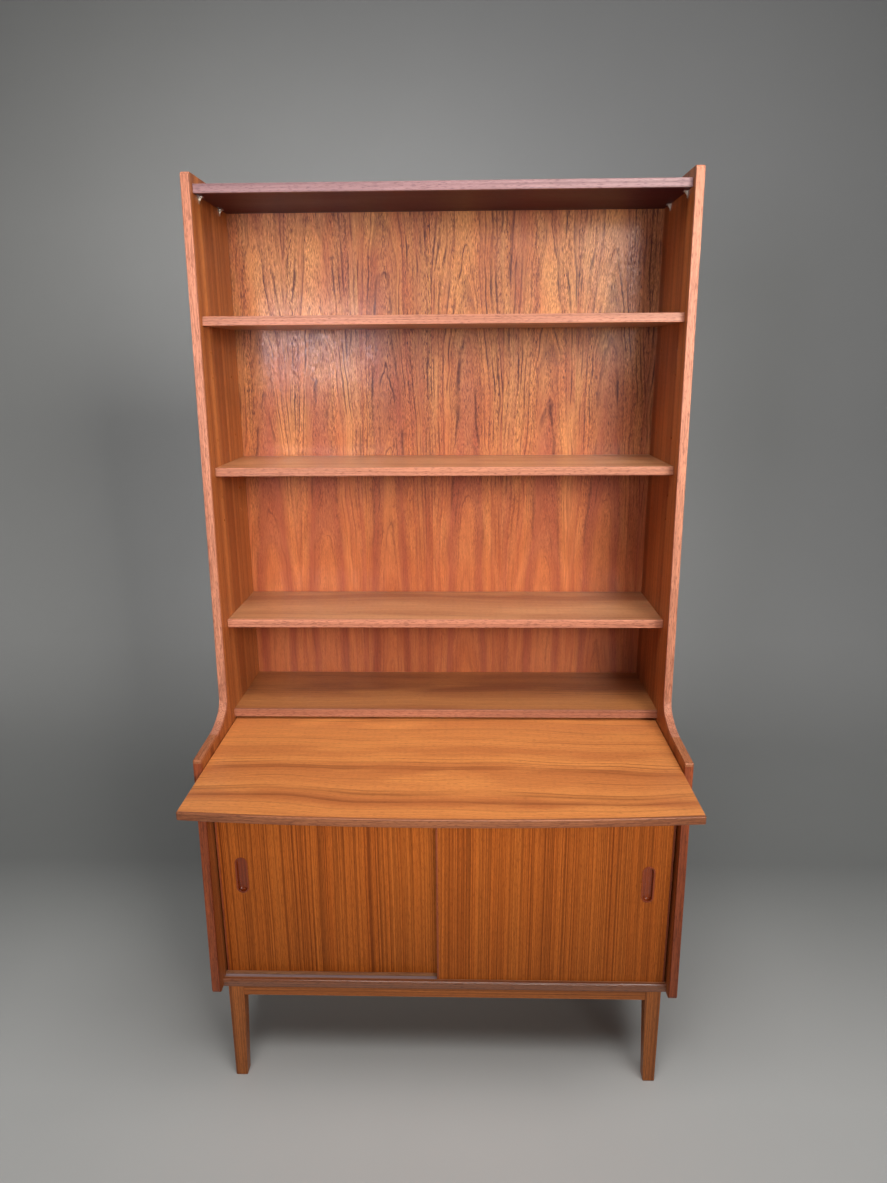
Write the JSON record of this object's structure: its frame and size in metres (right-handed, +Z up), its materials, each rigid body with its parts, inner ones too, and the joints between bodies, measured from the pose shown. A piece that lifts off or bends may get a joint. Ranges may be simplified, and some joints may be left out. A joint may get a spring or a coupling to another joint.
{
  "type": "secretary desk",
  "caption": "Tall wooden secretary desk: open bookshelves above, a pull-out writing plate at desk height and a low cabinet with sliding doors on a tapered-leg base.",
  "frame": {"origin": "on the floor, in the middle of the bounding box, with the writing plate pulled out as at rest", "axes": "+X to the right seen from the front, +Y towards the back, +Z up"},
  "size_m": [1, 0.67, 1.916],
  "materials": {
    "teak_side": "satin oiled teak veneer, upright grain",
    "teak_board": "satin oiled teak veneer, grain along the board",
    "teak_plate": "satin oiled teak veneer, grain along the plate",
    "teak_door": "satin oiled teak veneer, upright straight grain",
    "teak_edge": "satin oiled solid teak",
    "teak_pull": "satin oiled solid teak, turned dark by handling",
    "teak_frame": "satin oiled solid teak",
    "back_veneer": "satin teak veneer, book-matched upright leaves",
    "beech": "plain beech, unfinished",
    "support_metal": "nickel-plated, satin",
    "screw_steel": "zinc-plated",
    "track_strip": "smooth running strip"
  },
  "bodies": {
    "carcass": {"apron_front": "teak_frame", "apron_left": "teak_frame", "apron_rear": "teak_frame", "apron_right": "teak_frame", "back_screws": "screw_steel", "cabinet_bottom": "teak_board", "cabinet_bottom_lipping": "teak_edge", "cabinet_divider": "teak_board", "cabinet_shelf_left": "teak_board", "cabinet_shelf_pins": "support_metal", "cabinet_shelf_right": "teak_board", "cabinet_top": "teak_board", "cabinet_top_lipping": "teak_edge", "carcass_dowels": "beech", "desk_shelf": "teak_board", "desk_shelf_lipping": "teak_edge", "frame_dowels": "beech", "frame_screws": "screw_steel", "glue_blocks": "beech", "leg_front_left": "teak_frame", "leg_front_right": "teak_frame", "leg_rear_left": "teak_frame", "leg_rear_right": "teak_frame", "lower_back_panel": "back_veneer", "lower_shelf": "teak_board", "lower_shelf_lipping": "teak_edge", "lower_shelf_pins": "support_metal", "middle_shelf": "teak_board", "middle_shelf_lipping": "teak_edge", "middle_shelf_pins": "support_metal", "plate_hold_down_rails": "beech", "plate_stop_rail": "beech", "side_lipping_arm_left": "teak_edge", "side_lipping_arm_right": "teak_edge", "side_lipping_lower_left": "teak_edge", "side_lipping_lower_right": "teak_edge", "side_lipping_upper_left": "teak_edge", "side_lipping_upper_right": "teak_edge", "side_panel_left": "teak_side", "side_panel_right": "teak_side", "top_board": "teak_board", "top_board_brackets": "support_metal", "top_board_lipping": "teak_edge", "track_strip_front": "track_strip", "track_strip_rear": "track_strip", "upper_back_panel": "back_veneer", "upper_shelf": "teak_board", "upper_shelf_lipping": "teak_edge", "upper_shelf_pins": "support_metal"},
    "writing_plate": {"writing_plate": "teak_plate", "writing_plate_lipping": "teak_edge", "plate_stop_blocks": "beech"},
    "door_left": {"door_left": "teak_door", "door_edges_left": "teak_edge", "pull_left": "teak_pull"},
    "door_right": {"door_right": "teak_door", "door_edges_right": "teak_edge", "pull_right": "teak_pull"}
  },
  "joints": [
    {"name": "writing_plate_slide", "type": "slide", "parent": "carcass", "child": "writing_plate", "axis": [0, 1, 0], "range_m": [0, 0.162]},
    {"name": "door_left_slide", "type": "slide", "parent": "carcass", "child": "door_left", "axis": [1, 0, 0], "range_m": [0, 0.465]},
    {"name": "door_right_slide", "type": "slide", "parent": "carcass", "child": "door_right", "axis": [-1, 0, 0], "range_m": [0, 0.465]}
  ]
}
